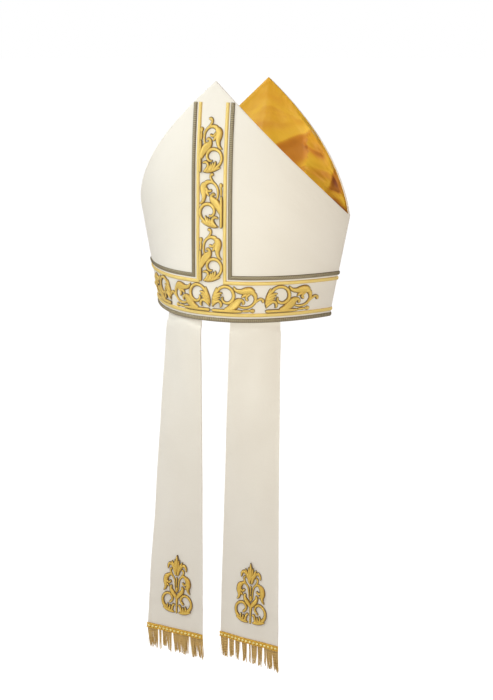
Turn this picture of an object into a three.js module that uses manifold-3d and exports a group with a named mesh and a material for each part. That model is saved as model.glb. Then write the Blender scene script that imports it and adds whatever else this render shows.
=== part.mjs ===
// A bishop's mitre: two stiffened horns sewn together at the side seams, a soft gold
// gusset between them, braids, gold lines and raised scroll embroidery on both horns,
// and two fringed lappets that hang from the back rim.
//
// Millimetres, +Z up. The origin is the centre of the rim plane, where the mitre sits
// on a head. The wearer faces +Y, so the lappets hang on the -Y side.

import * as THREE from 'three';
import { mergeVertices } from 'three/addons/utils/BufferGeometryUtils.js';
import Module from 'manifold-3d';

const wasm = await Module();
wasm.setup();

// ---------------------------------------------------------------- driving dimensions

const RIM_HALF_WIDTH = 114;
const RIM_HALF_DEPTH = 85.2;
const SHOULDER_HALF_WIDTH = 137.9;
const SHOULDER_HEIGHT = 120.8;
const PEAK_HEIGHT = 273.9;
const PEAK_EDGE_FALL_DEG = 40.75;
const SHOULDER_EDGE_FALL_DEG = 61;
const PANEL_BELLY = 3.1;

const PANEL_WALL = 2;
const GAP = 0.3;
const TRIM_THICK = 1.2;
const EMBROIDERY_GAP = 0.5;
const EMBROIDERY_RELIEF = 1;

const GUSSET_VALLEY_HEIGHT = 141;
const GUSSET_WALL = 2.4;
const GUSSET_TUCK = 1.5;
const GUSSET_REACH = 0.98;
const GUSSET_GAP = 0.9;

const LAPPET_WALL = 1.6;
const LAPPET_TUCK = 16;
const LAPPET_GAP = 0.8;
const HEADING_HEIGHT = 6.5;
const FRINGE_LENGTH = 24.5;
const FRINGE_THICK = 3;

// Plan of each horn: half depth and curve powers at the rim and at the peak, and how far
// the tip curls inwards. The curl starts at CURL_START and grows to the peak.
const HORNS = {
  back: { out: -1, peakDepth: 76.2, peakPower: 2.44, peakRoot: 1.03, curl: 6 },
  front: { out: 1, peakDepth: 78.5, peakPower: 1.98, peakRoot: 0.88, curl: 0 },
};
const RIM_POWER = 2.215;
const RIM_ROOT = 1.12;
const CURL_START = 170;

// Bands round the rim: heights of the lower and upper edge.
const RIM_BANDS = [
  { name: 'rim_braid', low: 0, high: 5.3 },
  { name: 'rim_cord', low: 7.3, high: 11 },
];

// Lines that come down beside the centre and turn outwards to the side seams.
const L_LINES = [
  { name: 'cord', across: 17, up: 46.5, width: 3.8 },
  { name: 'braid', across: 23.4, up: 52.9, width: 5.3 },
];
const L_LINE_TOP = 248;

// Scroll embroidery. Each scroll grows from its root to the right over a straight bar.
const SCROLL_LENGTH = 62;
const CENTRE_SCROLL_GIRTH = 0.88;
const CENTRE_SCROLLS = [
  { name: 'lower', root: 46.4, barAcross: -15, grows: 1 },
  { name: 'middle', root: 109.6, barAcross: 15, grows: -1 },
  { name: 'upper', root: 171.6, barAcross: -15, grows: 1 },
];
const BAND_SCROLLS = [
  { name: 'inner', root: 0.9, length: 62 },
  { name: 'outer', root: 63.9, length: 66 },
];
const BAND_SCROLL_FOOT = 11.6;
const BAND_SCROLL_GIRTH = 0.93;

// Lappets: where the top meets the rim, and where the two lower corners hang.
const LAPPETS = [
  { name: 'left', rimFrom: -72.5, rimTo: -15.1, footFrom: [-92.8, -84.5], footTo: [-13.8, -87.3], foot: -403 },
  { name: 'right', rimFrom: 22, rimTo: 73.1, footFrom: [7.7, -81.1], footTo: [89.1, -91.1], foot: -396.5 },
];
const SPRIG_FOOT = 26;
const SPRIG_HEIGHT = 76;

// ---------------------------------------------------------------- materials

const satin = new THREE.MeshStandardMaterial({ color: 0xf6f1e4, roughness: 0.75 });
const goldSatin = new THREE.MeshStandardMaterial({ color: 0xd69f3e, roughness: 0.4 });
const darkBraid = new THREE.MeshStandardMaterial({ color: 0x76664c, roughness: 0.55, metalness: 0.3 });
const goldThread = new THREE.MeshStandardMaterial({ color: 0xe4bc58, roughness: 0.4, metalness: 0.4 });
const fringeGold = new THREE.MeshStandardMaterial({ color: 0xb98c3e, roughness: 0.5, metalness: 0.3 });

// ---------------------------------------------------------------- solids

const mitre = new THREE.Group();

function addPiece(name, geometry, material) {
  const piece = new THREE.Mesh(geometry, material);
  piece.name = name;
  mitre.add(piece);
}

// Moves every vertex of a geometry through place(x, y, z) and leaves position only.
function reshaped(geometry, place) {
  const bare = new THREE.BufferGeometry();
  const from = geometry.getAttribute('position');
  const moved = new Float32Array(from.count * 3);
  for (let i = 0; i < from.count; i += 1) {
    place(from.getX(i), from.getY(i), from.getZ(i)).toArray(moved, i * 3);
  }
  bare.setAttribute('position', new THREE.BufferAttribute(moved, 3));
  const order = geometry.index ?? [...Array(from.count).keys()];
  bare.setIndex(geometry.index ? Array.from(order.array) : order);
  return mergeVertices(bare, 1e-3);
}

function toManifold(geometry) {
  return new wasm.Manifold(new wasm.Mesh({
    numProp: 3,
    vertProperties: new Float32Array(geometry.getAttribute('position').array),
    triVerts: new Uint32Array(geometry.index.array),
  }));
}

function fromManifold(solid) {
  const mesh = solid.getMesh();
  const geometry = new THREE.BufferGeometry();
  geometry.setAttribute('position', new THREE.BufferAttribute(mesh.vertProperties, 3));
  geometry.setIndex(new THREE.BufferAttribute(mesh.triVerts, 1));
  return geometry;
}

// ---------------------------------------------------------------- the horn surface

const fallPeak = THREE.MathUtils.degToRad(PEAK_EDGE_FALL_DEG);
const fallShoulder = THREE.MathUtils.degToRad(SHOULDER_EDGE_FALL_DEG);
const peak = new THREE.Vector2(0, PEAK_HEIGHT);
const shoulder = new THREE.Vector2(SHOULDER_HALF_WIDTH, SHOULDER_HEIGHT);

// The corner of the free edge's curve: where its two end tangents cross.
function tangentCrossing() {
  const reach = (SHOULDER_HALF_WIDTH * Math.tan(fallShoulder) + SHOULDER_HEIGHT - PEAK_HEIGHT)
    / (Math.tan(fallShoulder) - Math.tan(fallPeak));
  return new THREE.Vector2(reach, PEAK_HEIGHT - reach * Math.tan(fallPeak));
}

const freeEdge = new THREE.QuadraticBezierCurve(peak, tangentCrossing(), shoulder);

function halfWidth(z) {
  return RIM_HALF_WIDTH + (SHOULDER_HALF_WIDTH - RIM_HALF_WIDTH) * (z / SHOULDER_HEIGHT);
}

// A point of a horn. ratio runs from -1 to 1 across, as seen from outside the horn,
// and out is the distance outside its surface.
function onHorn(horn, ratio, z, out, seamGap = 0) {
  const rise = z / PEAK_HEIGHT;
  const power = THREE.MathUtils.lerp(RIM_POWER, horn.peakPower, rise);
  const root = THREE.MathUtils.lerp(RIM_ROOT, horn.peakRoot, rise);
  const curl = horn.curl * (Math.max(0, z - CURL_START) / (PEAK_HEIGHT - CURL_START)) ** 2;
  const depth = THREE.MathUtils.lerp(RIM_HALF_DEPTH, horn.peakDepth, rise)
    + PANEL_BELLY * 4 * rise * (1 - rise) - curl + out;
  const width = halfWidth(z) + out * 1.25;
  const swell = (1 - Math.min(1, Math.abs(ratio)) ** power) ** (1 / root);
  const y = seamGap + (depth - seamGap) * swell;
  return new THREE.Vector3(-horn.out * ratio * width, horn.out * y, z);
}

// The height of the free edge above a given ratio.
function edgeHeight(ratio) {
  let low = 0;
  let high = 1;
  for (let step = 0; step < 40; step += 1) {
    const middle = (low + high) / 2;
    const point = freeEdge.getPoint(middle);
    if (point.x / halfWidth(point.y) < Math.abs(ratio)) low = middle;
    else high = middle;
  }
  return freeEdge.getPoint(low).y;
}

// The ratio at a distance across, measured along the horn's surface at height z.
function ratioAcross(horn, distance, z) {
  const steps = 120;
  let walked = 0;
  let last = onHorn(horn, 0, z, 0);
  for (let step = 1; step <= steps; step += 1) {
    const next = onHorn(horn, Math.sin((step / steps) * (Math.PI / 2)), z, 0);
    const stride = next.distanceTo(last);
    if (walked + stride >= Math.abs(distance)) {
      const part = (Math.abs(distance) - walked) / stride;
      return Math.sign(distance) * Math.sin(((step - 1 + part) / steps) * (Math.PI / 2));
    }
    walked += stride;
    last = next;
  }
  return Math.sign(distance);
}

// ---------------------------------------------------------------- horns and gusset

// A unit box: x from -1 to 1, y from 0 to 1, z from 0 to 1.
function unitBox(acrossCells, upCells) {
  const box = new THREE.BoxGeometry(2, 1, 1, acrossCells, upCells, 1);
  return box.translate(0, 0.5, 0.5);
}

function hornPanel(horn) {
  return reshaped(unitBox(24, 8), (x, y, z) => {
    const ratio = Math.sin(x * (Math.PI / 2));
    return onHorn(horn, ratio, y * edgeHeight(ratio), (z - 1) * PANEL_WALL, GAP / 2);
  });
}

// The gusset hangs as a valley from just inside both free edges.
function crownGusset() {
  const box = new THREE.BoxGeometry(2, 2, 1, 18, 8, 1);
  return reshaped(box, (x, y, z) => {
    const ratio = GUSSET_REACH * Math.sin(x * (Math.PI / 2));
    const horn = y < 0 ? HORNS.back : HORNS.front;
    const top = edgeHeight(ratio) - GUSSET_TUCK;
    const edge = onHorn(horn, -horn.out * ratio, top, -PANEL_WALL - GUSSET_GAP);
    const valley = SHOULDER_HEIGHT + (GUSSET_VALLEY_HEIGHT - SHOULDER_HEIGHT) * (1 - ratio * ratio);
    const drop = Math.min(valley, top - 1);
    const fold = new THREE.Vector3(ratio * SHOULDER_HALF_WIDTH, 0, drop);
    const point = fold.lerp(edge, Math.abs(y));
    point.z += (z - 0.5) * GUSSET_WALL;
    return point;
  });
}

addPiece('back_panel', hornPanel(HORNS.back), satin);
addPiece('front_panel', hornPanel(HORNS.front), satin);
addPiece('crown_gusset', crownGusset(), goldSatin);

// ---------------------------------------------------------------- braids and cords

const OUT_LOW = GAP;
const OUT_HIGH = GAP + TRIM_THICK;

// A closed ring round the rim: a revolved rectangle drawn out to the mitre's plan.
function rimRing(low, high) {
  const profile = [
    new THREE.Vector2(2, low),
    new THREE.Vector2(2, high),
    new THREE.Vector2(1, high),
    new THREE.Vector2(1, low),
    new THREE.Vector2(2, low),
  ];
  const ring = new THREE.LatheGeometry(profile, 48);
  return reshaped(ring, (x, y, z) => {
    const radius = Math.hypot(x, z);
    const horn = z < 0 ? HORNS.front : HORNS.back;
    const ratio = (-horn.out * x) / radius;
    return onHorn(horn, ratio, y, OUT_LOW + (radius - 1) * TRIM_THICK);
  });
}

for (const band of RIM_BANDS) {
  addPiece(band.name, rimRing(band.low, band.high), band.name === 'rim_braid' ? darkBraid : goldThread);
}

// One L-shaped line: down beside the centre, round a square corner and out to the seam.
function cornerLine(horn, hand, line) {
  const downCells = 8;
  const outCells = 14;
  const box = new THREE.BoxGeometry(1, 1, 1, downCells + outCells, 1, 1);
  return reshaped(box, (x, y, z) => {
    const station = Math.round((x + 0.5) * (downCells + outCells));
    const inward = y * line.width;
    const out = OUT_LOW + (z + 0.5) * TRIM_THICK;
    const across = line.across + inward;
    const up = line.up + inward;
    if (station <= downCells) {
      const height = THREE.MathUtils.lerp(L_LINE_TOP, up, station / downCells);
      return onHorn(horn, (hand * across) / halfWidth(height), height, out);
    }
    const start = Math.asin(across / halfWidth(up)) / (Math.PI / 2);
    const sweep = THREE.MathUtils.lerp(start, 1, (station - downCells) / outCells);
    return onHorn(horn, hand * Math.sin(sweep * (Math.PI / 2)), up, out, GAP / 2);
  });
}

// Turns a mirrored solid's faces the right way out again.
function outward(geometry) {
  const order = geometry.index.array;
  for (let i = 0; i < order.length; i += 3) [order[i], order[i + 1]] = [order[i + 1], order[i]];
  return geometry;
}

for (const [side, horn] of Object.entries(HORNS)) {
  for (const line of L_LINES) {
    const material = line.name === 'braid' ? darkBraid : goldThread;
    addPiece(`${side}_${line.name}_right`, cornerLine(horn, 1, line), material);
    addPiece(`${side}_${line.name}_left`, outward(cornerLine(horn, -1, line)), material);
  }
}

// ---------------------------------------------------------------- embroidery

// Strokes of one scroll, from root to tip: distance along the bar, height over it, width.
const SCROLL_STROKES = {
  bar: [[0.5, 2.5, 4.2], [47, 2.8, 3.8], [52, 2.8, 4.6]],
  calyx: [[19, 3, 4], [28, 9, 9.5], [34, 14, 7.5], [38.6, 12, 2.6]],
  flower: [[32, 9, 3], [42, 7.4, 3], [50, 13, 3.4], [51, 21, 5], [45, 27, 9], [37, 26.6, 7], [27.4, 30.5, 3]],
  drop: [[44.5, 23, 4], [42.6, 16.4, 2.8]],
  tip: [[50, 12, 2.6], [58, 17, 3], [61, 13.4, 2.6]],
  curl: [[7, 27, 5], [14, 31.2, 3.6], [23, 29.6, 3.8], [27.2, 21, 4], [22, 12.6, 3.8], [14.6, 14.6, 2.6]],
  leaf: [[2, 4, 3], [3.4, 14, 5.6], [8, 27.6, 6]],
  tooth: [[4, 15, 5], [10.6, 14.6, 3.6], [11.6, 4, 2.4]],
};

// Strokes of a lappet sprig, measured from its centre line: a stalk, and half the branches.
const SPRIG_STALK = [[0, 0, 4], [0, 52, 5], [0, 76, 1.6]];
const SPRIG_BRANCHES = {
  leaf: [[0, 4, 5], [12, 6, 6], [20, 15, 2.4]],
  curl: [[15, 8, 5], [10.4, 19, 3.6], [18, 24, 2.6]],
  flower: [[0, 22, 4], [11, 30, 3.6], [8, 41, 7], [15.6, 36, 2.4]],
  bar: [[0, 48, 3.8], [14, 48, 4.6]],
  lobeLow: [[0, 52, 5], [13, 59, 2.4]],
  lobeHigh: [[0, 60, 5], [9, 70, 2.4]],
};

const STROKE_STEPS = 1;

// The outline of a stroke: a smooth centre line with its width set off to both sides.
function strokeShape(rows) {
  const centre = new THREE.SplineCurve(rows.map(([x, y]) => new THREE.Vector2(x, y)));
  const spread = new THREE.SplineCurve(rows.map(([, , width], i) => new THREE.Vector2(i, width)));
  const count = (rows.length - 1) * STROKE_STEPS;
  const left = [];
  const right = [];
  for (let i = 0; i <= count; i += 1) {
    const at = centre.getPoint(i / count);
    const along = centre.getTangent(i / count);
    const half = spread.getPoint(i / count).y / 2;
    left.push(new THREE.Vector2(at.x - along.y * half, at.y + along.x * half));
    right.push(new THREE.Vector2(at.x + along.y * half, at.y - along.x * half));
  }
  return [...left, ...right.reverse()];
}

// A flat sheet of cells set off outside a surface, to be cut to an embroidered outline.
function reliefLayer(surface, area, acrossCells, upCells) {
  const box = new THREE.BoxGeometry(1, 1, 1, acrossCells, upCells, 1).translate(0.5, 0.5, 0.5);
  return reshaped(box, (x, y, z) => surface(
    THREE.MathUtils.lerp(area.from, area.to, x),
    THREE.MathUtils.lerp(area.low, area.high, y),
    EMBROIDERY_GAP + z * EMBROIDERY_RELIEF,
  ));
}

// Strokes raised on a curved surface. The strokes are seen along the surface's normal at
// the middle of the area, cut out as prisms and kept where they pass the relief layer.
function embroidered(surface, area, outlines, acrossCells, upCells) {
  const middleAcross = (area.from + area.to) / 2;
  const middleUp = (area.low + area.high) / 2;
  const middle = surface(middleAcross, middleUp, 0);
  const up = surface(middleAcross, middleUp + 1, 0).sub(surface(middleAcross, middleUp - 1, 0)).normalize();
  const normal = surface(middleAcross, middleUp, 1).sub(middle).normalize();
  const across = new THREE.Vector3().crossVectors(up, normal).normalize();
  normal.crossVectors(across, up);
  const view = new THREE.Matrix4().makeBasis(across, up, normal).setPosition(middle);
  const back = view.clone().invert();
  const reach = 40;
  let strokes = null;
  for (const outline of outlines) {
    const flat = outline.map((point) => {
      const seen = surface(point.x, point.y, EMBROIDERY_GAP + EMBROIDERY_RELIEF / 2).applyMatrix4(back);
      return new THREE.Vector2(seen.x, seen.y);
    });
    const prism = new THREE.ExtrudeGeometry(new THREE.Shape(flat), { depth: 2 * reach, bevelEnabled: false });
    const placed = reshaped(prism, (x, y, z) => new THREE.Vector3(x, y, z - reach).applyMatrix4(view));
    const stroke = toManifold(placed);
    strokes = strokes ? strokes.add(stroke) : stroke;
  }
  return fromManifold(strokes.intersect(toManifold(reliefLayer(surface, area, acrossCells, upCells))));
}

function hornSurface(horn) {
  return (across, up, out) => onHorn(horn, ratioAcross(horn, across, up), up, out);
}

const scrollOutlines = Object.values(SCROLL_STROKES).map(strokeShape);

for (const [side, horn] of Object.entries(HORNS)) {
  const surface = hornSurface(horn);
  for (const scroll of CENTRE_SCROLLS) {
    const outlines = scrollOutlines.map((outline) => outline.map((point) => new THREE.Vector2(
      scroll.barAcross + scroll.grows * point.y * CENTRE_SCROLL_GIRTH,
      scroll.root + point.x,
    )));
    const area = { from: -20, to: 20, low: scroll.root - 2, high: scroll.root + SCROLL_LENGTH + 2 };
    addPiece(`${side}_scroll_${scroll.name}`, embroidered(surface, area, outlines, 4, 3), goldThread);
  }
  for (const scroll of BAND_SCROLLS) {
    for (const [hand, turn] of [['right', 1], ['left', -1]]) {
      const stretch = scroll.length / SCROLL_LENGTH;
      const outlines = scrollOutlines.map((outline) => outline.map((point) => new THREE.Vector2(
        turn * (scroll.root + point.x * stretch),
        BAND_SCROLL_FOOT + point.y * BAND_SCROLL_GIRTH,
      )));
      const inner = turn * (scroll.root - 2);
      const outer = turn * (scroll.root + scroll.length + 3);
      const area = { from: Math.min(inner, outer), to: Math.max(inner, outer), low: 11, high: 46 };
      addPiece(`${side}_band_scroll_${scroll.name}_${hand}`, embroidered(surface, area, outlines, 7, 1), goldThread);
    }
  }
}

// ---------------------------------------------------------------- lappets

// A point of a lappet. across runs from 0 to 1 and out is set off outside its face.
// Above the rim it lies inside the back horn; below, its plan eases into a straight line.
function onLappet(lappet, across, z, out) {
  const x = THREE.MathUtils.lerp(lappet.rimFrom, lappet.rimTo, across);
  const inside = -PANEL_WALL - LAPPET_GAP;
  const ratio = x / (RIM_HALF_WIDTH + inside * 1.25);
  if (z >= 0) return onHorn(HORNS.back, ratio, z, inside + out);
  const top = onHorn(HORNS.back, ratio, 0, inside + out);
  const fall = (z / lappet.foot) ** 0.9;
  const footX = THREE.MathUtils.lerp(lappet.footFrom[0], lappet.footTo[0], across);
  const footY = THREE.MathUtils.lerp(lappet.footFrom[1], lappet.footTo[1], across) - out;
  return new THREE.Vector3(
    THREE.MathUtils.lerp(top.x, footX, fall),
    THREE.MathUtils.lerp(top.y, footY, fall),
    z,
  );
}

// A strip of the lappet's width between two heights and two distances outside its face.
function lappetStrip(lappet, low, high, inner, outer, cells) {
  const box = new THREE.BoxGeometry(1, 1, 1, 6, cells, 1).translate(0.5, 0.5, 0.5);
  return reshaped(box, (x, y, z) => onLappet(
    lappet,
    x,
    THREE.MathUtils.lerp(low, high, y),
    THREE.MathUtils.lerp(inner, outer, z),
  ));
}

// The whole lappet, with one row of its cells ending exactly at the rim.
function lappetCloth(lappet) {
  const cellsBelow = 14;
  const cellsAbove = 2;
  const rim = cellsBelow / (cellsBelow + cellsAbove);
  const box = new THREE.BoxGeometry(1, 1, 1, 6, cellsBelow + cellsAbove, 1).translate(0.5, 0.5, 0.5);
  return reshaped(box, (x, y, z) => {
    const height = y < rim ? lappet.foot * (1 - y / rim) : (LAPPET_TUCK * (y - rim)) / (1 - rim);
    return onLappet(lappet, x, height, (z - 1) * LAPPET_WALL);
  });
}

function sprig(lappet) {
  const width = lappet.footTo[0] - lappet.footFrom[0];
  const surface = (across, up, out) => onLappet(lappet, 0.5 + across / width, up, out);
  const foot = lappet.foot + SPRIG_FOOT;
  const branches = Object.values(SPRIG_BRANCHES).map(strokeShape);
  const place = (hand) => (outline) => outline.map((point) => new THREE.Vector2(hand * point.x, foot + point.y));
  const mirrored = (outline) => place(-1)(outline).reverse();
  const outlines = [place(1)(strokeShape(SPRIG_STALK)), ...branches.map(place(1)), ...branches.map(mirrored)];
  const area = { from: -24, to: 24, low: foot - 4, high: foot + SPRIG_HEIGHT + 3 };
  return embroidered(surface, area, outlines, 3, 4);
}

for (const lappet of LAPPETS) {
  const { name, foot } = lappet;
  addPiece(`lappet_${name}`, lappetCloth(lappet), satin);
  addPiece(`lappet_sprig_${name}`, sprig(lappet), goldThread);
  const headingTop = foot + HEADING_HEIGHT;
  addPiece(`fringe_heading_${name}`, lappetStrip(lappet, foot, headingTop, GAP, GAP + TRIM_THICK, 1), goldThread);
  const fringeTop = foot - GAP;
  const fringeBack = -(LAPPET_WALL + FRINGE_THICK) / 2;
  const fringeFront = fringeBack + FRINGE_THICK;
  addPiece(
    `fringe_${name}`,
    lappetStrip(lappet, fringeTop - FRINGE_LENGTH, fringeTop, fringeBack, fringeFront, 1),
    fringeGold,
  );
}

export default mitre;
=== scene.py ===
# %% [markdown]
# # A bishop's mitre
#
# The mitre is two stiff pointed horns of ivory satin, sewn together at the sides, with a
# soft gold gusset between them. Braids, gold lines and raised scrolls decorate both horns,
# and two fringed lappets hang from the back rim. This file makes each of those pieces over
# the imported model, in metres, and never moves the model. The wearer faces +Y, so the
# lappets hang on the -Y side.

# %% Load the frame
import functools
import math
import random

import bmesh
import bpy
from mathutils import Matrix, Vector, noise


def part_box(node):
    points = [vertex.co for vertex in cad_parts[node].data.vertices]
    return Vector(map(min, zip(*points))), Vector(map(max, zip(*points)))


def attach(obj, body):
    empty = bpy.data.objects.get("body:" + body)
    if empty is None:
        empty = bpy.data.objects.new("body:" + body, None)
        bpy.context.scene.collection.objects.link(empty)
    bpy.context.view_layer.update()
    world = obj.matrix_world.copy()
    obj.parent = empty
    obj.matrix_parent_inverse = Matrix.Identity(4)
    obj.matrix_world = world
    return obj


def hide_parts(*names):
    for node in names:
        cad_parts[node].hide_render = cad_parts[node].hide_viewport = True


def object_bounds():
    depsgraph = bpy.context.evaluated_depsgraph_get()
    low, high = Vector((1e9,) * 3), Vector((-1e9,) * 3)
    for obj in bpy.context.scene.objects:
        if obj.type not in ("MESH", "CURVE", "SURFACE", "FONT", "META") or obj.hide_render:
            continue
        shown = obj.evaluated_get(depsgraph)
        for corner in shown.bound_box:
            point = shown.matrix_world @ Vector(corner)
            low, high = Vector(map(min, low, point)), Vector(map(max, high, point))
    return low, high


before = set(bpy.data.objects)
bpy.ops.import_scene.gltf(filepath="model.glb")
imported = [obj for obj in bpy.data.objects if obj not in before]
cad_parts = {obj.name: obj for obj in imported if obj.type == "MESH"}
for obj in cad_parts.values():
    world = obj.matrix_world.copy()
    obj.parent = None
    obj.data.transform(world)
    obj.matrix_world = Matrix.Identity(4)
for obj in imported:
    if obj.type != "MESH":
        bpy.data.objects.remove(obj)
CAD_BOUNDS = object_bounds()
MM = 0.001
print("packed model:", [tuple(round(c, 4) for c in corner) for corner in CAD_BOUNDS])

# %% [markdown]
# ## The horn's surface
#
# A horn is card and cloth bent round the head. Its plan is a rounded bow from side seam to
# side seam, and its free edge is one long curve from the peak to the shoulder. Everything
# sewn on a horn needs the same surface, so one function gives a point from a ratio across,
# a height and a distance outside the cloth. A subdivided cage would be quicker to shape by
# eye, but then each braid would have to be fitted to it again.

# %% Sizes of the horns
RIM_HALF_WIDTH = 114 * MM
RIM_HALF_DEPTH = 85.2 * MM
SHOULDER_HALF_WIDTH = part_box("back_panel")[1].x
SHOULDER_HEIGHT = 120.8 * MM
PEAK_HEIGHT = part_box("back_panel")[1].z
PEAK_EDGE_FALL = math.tan(math.radians(40.75))
SHOULDER_EDGE_FALL = math.tan(math.radians(61))
BELLY = 3.1 * MM
PANEL_WALL = 2 * MM
CURL_START = 170 * MM
RIM_POWER = 2.215
RIM_ROOT = 1.12
# At the seams a layer lies this many times as far out as it does in the middle.
SEAM_SPREAD = 1.25
WAVER = 0.35 * MM
WAVERS_ACROSS = 2.4
WAVERS_PER_METRE = 15
HORNS = {
    "back": {"out": -1, "peak_depth": 76.2 * MM, "power": 2.44, "root": 1.03, "curl": 6 * MM},
    "front": {"out": 1, "peak_depth": 78.5 * MM, "power": 1.98, "root": 0.88, "curl": 0},
}
print("peak", round(PEAK_HEIGHT, 4), "shoulder", round(SHOULDER_HALF_WIDTH, 4))


# %% A point of a horn
HALVINGS = 36


def mix(a, b, share):
    return a + (b - a) * share


def half_width(z):
    return mix(RIM_HALF_WIDTH, SHOULDER_HALF_WIDTH, z / SHOULDER_HEIGHT)


def on_horn(side, ratio, z, out):
    """A point of a horn: ratio from -1 to 1 across as seen from outside, out in metres."""
    horn = HORNS[side]
    rise = z / PEAK_HEIGHT
    power = mix(RIM_POWER, horn["power"], rise)
    root = mix(RIM_ROOT, horn["root"], rise)
    depth = mix(RIM_HALF_DEPTH, horn["peak_depth"], rise) + BELLY * 4 * rise * (1 - rise)
    depth -= horn["curl"] * (max(0, z - CURL_START) / (PEAK_HEIGHT - CURL_START)) ** 2
    swell = max(0, 1 - min(1, abs(ratio)) ** power) ** (1 / root)
    spot = Vector((ratio * WAVERS_ACROSS, z * WAVERS_PER_METRE, horn["out"] * 3))
    out += WAVER * noise.noise(spot) * swell
    across = -horn["out"] * ratio * (half_width(z) + out * SEAM_SPREAD)
    return Vector((across, horn["out"] * (depth + out) * swell, z))


def edge_point(share):
    """The free edge as (x, z), from the peak at 0 to the shoulder at 1."""
    reach = (SHOULDER_HALF_WIDTH * SHOULDER_EDGE_FALL + SHOULDER_HEIGHT - PEAK_HEIGHT) / (
        SHOULDER_EDGE_FALL - PEAK_EDGE_FALL
    )
    corner = (reach, PEAK_HEIGHT - reach * PEAK_EDGE_FALL)
    keep = 1 - share
    x = 2 * keep * share * corner[0] + share * share * SHOULDER_HALF_WIDTH
    z = keep * keep * PEAK_HEIGHT + 2 * keep * share * corner[1] + share * share * SHOULDER_HEIGHT
    return x, z


def edge_height(ratio):
    """The height of the free edge at a ratio across, found by halving."""
    low, high = 0.0, 1.0
    for _ in range(HALVINGS):
        middle = (low + high) / 2
        x, z = edge_point(middle)
        if x / half_width(z) < abs(ratio):
            low = middle
        else:
            high = middle
    return edge_point(low)[1]


print("free edge half way:", [round(c, 4) for c in edge_point(0.5)])

# %% [markdown]
# Embroidery keeps its length as it goes round the horn, so it is laid out in distances
# measured along the cloth. The walk from the horn's middle outwards is summed once for
# each height and then looked up.


# %% Distances along the cloth
WALK_STEPS = 90
WALK_LEVEL = 3 * MM


@functools.lru_cache(maxsize=None)
def walk(side, level):
    """Distances from the middle to each of WALK_STEPS turns towards the seam."""
    total = 0.0
    last = on_horn(side, 0, level * WALK_LEVEL, 0)
    sums = [0.0]
    for step in range(1, WALK_STEPS + 1):
        point = on_horn(side, math.sin(step / WALK_STEPS * math.pi / 2), level * WALK_LEVEL, 0)
        total += (point - last).length
        sums.append(total)
        last = point
    return sums


def ratio_across(side, distance, z):
    """The ratio across that lies a distance along the cloth from the middle."""
    sums = walk(side, round(z / WALK_LEVEL))
    target = min(abs(distance), sums[-1])
    step = next(i for i in range(1, len(sums)) if sums[i] >= target)
    part = (target - sums[step - 1]) / (sums[step] - sums[step - 1])
    return math.copysign(math.sin((step - 1 + part) / WALK_STEPS * math.pi / 2), distance)


def along_horn(side):
    """A surface for embroidery: (distance across, height, distance out) to a point."""
    return lambda across, up, out: on_horn(side, ratio_across(side, across, up), up, out)


print("half way round the rim:", round(walk("back", 0)[-1], 4))

# %% [markdown]
# ## Cloth as a shaped slab
#
# Every wall, strip and stitch here starts as the same thing: a flat grid extruded into a
# slab one unit long, wide and thick, whose points are then placed by a function. The grid
# and the extrusion are bmesh operators, so the slab is closed and its cells are even. Its
# own flat shape also gives the UV map, in metres, that weave and stitches follow.


# %% Slab helpers
SHARP_ANGLE = math.radians(55)


def slab(columns, rows):
    """A closed slab from 0 to 1 in x, y and z, in columns by rows of cells."""
    block = bmesh.new()
    bmesh.ops.create_grid(block, x_segments=columns, y_segments=rows, size=0.5)
    bmesh.ops.translate(block, vec=(0.5, 0.5, 0), verts=block.verts[:])
    raised = bmesh.ops.extrude_face_region(block, geom=block.faces[:], use_keep_orig=True)
    top = [part for part in raised["geom"] if isinstance(part, bmesh.types.BMVert)]
    bmesh.ops.translate(block, vec=(0, 0, 1), verts=top)
    return block


def shaped(block, place, size, shift=0.0, material=0):
    """Places each point of a slab and maps its flat shape, size metres, as UV."""
    uv = block.loops.layers.uv.new("UVMap")
    for face in block.faces:
        face.material_index = material
        for loop in face.loops:
            loop[uv].uv = (shift + loop.vert.co.x * size[0], loop.vert.co.y * size[1])
    for vert in block.verts:
        vert.co = place(*vert.co)
    bmesh.ops.recalc_face_normals(block, faces=block.faces[:])
    return block


def joined(blocks):
    """One mesh made of several, which are freed."""
    whole = bmesh.new()
    for block in blocks:
        part = bpy.data.meshes.new("part")
        block.to_mesh(part)
        block.free()
        whole.from_mesh(part)
        bpy.data.meshes.remove(part)
    return whole


def finished(name, block, materials, slot, nodes):
    """Makes the piece that stands for those CAD nodes."""
    mesh = bpy.data.meshes.new(name)
    block.to_mesh(mesh)
    block.free()
    mesh.shade_smooth()
    mesh.set_sharp_from_angle(angle=SHARP_ANGLE)
    for material in materials:
        mesh.materials.append(material)
    piece = bpy.data.objects.new(name, mesh)
    bpy.context.scene.collection.objects.link(piece)
    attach(piece, "root")
    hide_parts(*nodes)
    mesh.calc_loop_triangles()
    print(f"{name}: {len(mesh.loop_triangles)} triangles")
    return piece


test = slab(3, 2)
print("test slab: open edges", sum(1 for edge in test.edges if not edge.is_manifold))
test.free()

# %% [markdown]
# ## Finishes
#
# The finishes share three effects. Satin weave is fine long floats of thread with a faint
# unevenness. Stitch rows are the parallel threads of satin stitch and braid. Cloth tint is
# the slow change of tone over a hand's width. Each effect is a node group with its own
# inputs, placed in each material that needs it.


# %% Node helpers
def add(tree, kind, **settings):
    node = tree.nodes.new(kind)
    for name, value in settings.items():
        setattr(node, name, value)
    return node


def join(tree, source, target):
    tree.links.new(source, target)


def number(tree, operation, a, b):
    """A Math node on two values, each a socket or a number."""
    node = add(tree, "ShaderNodeMath", operation=operation)
    for socket, value in zip(node.inputs, (a, b)):
        if isinstance(value, (int, float)):
            socket.default_value = value
        else:
            join(tree, value, socket)
    return node.outputs[0]


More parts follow.
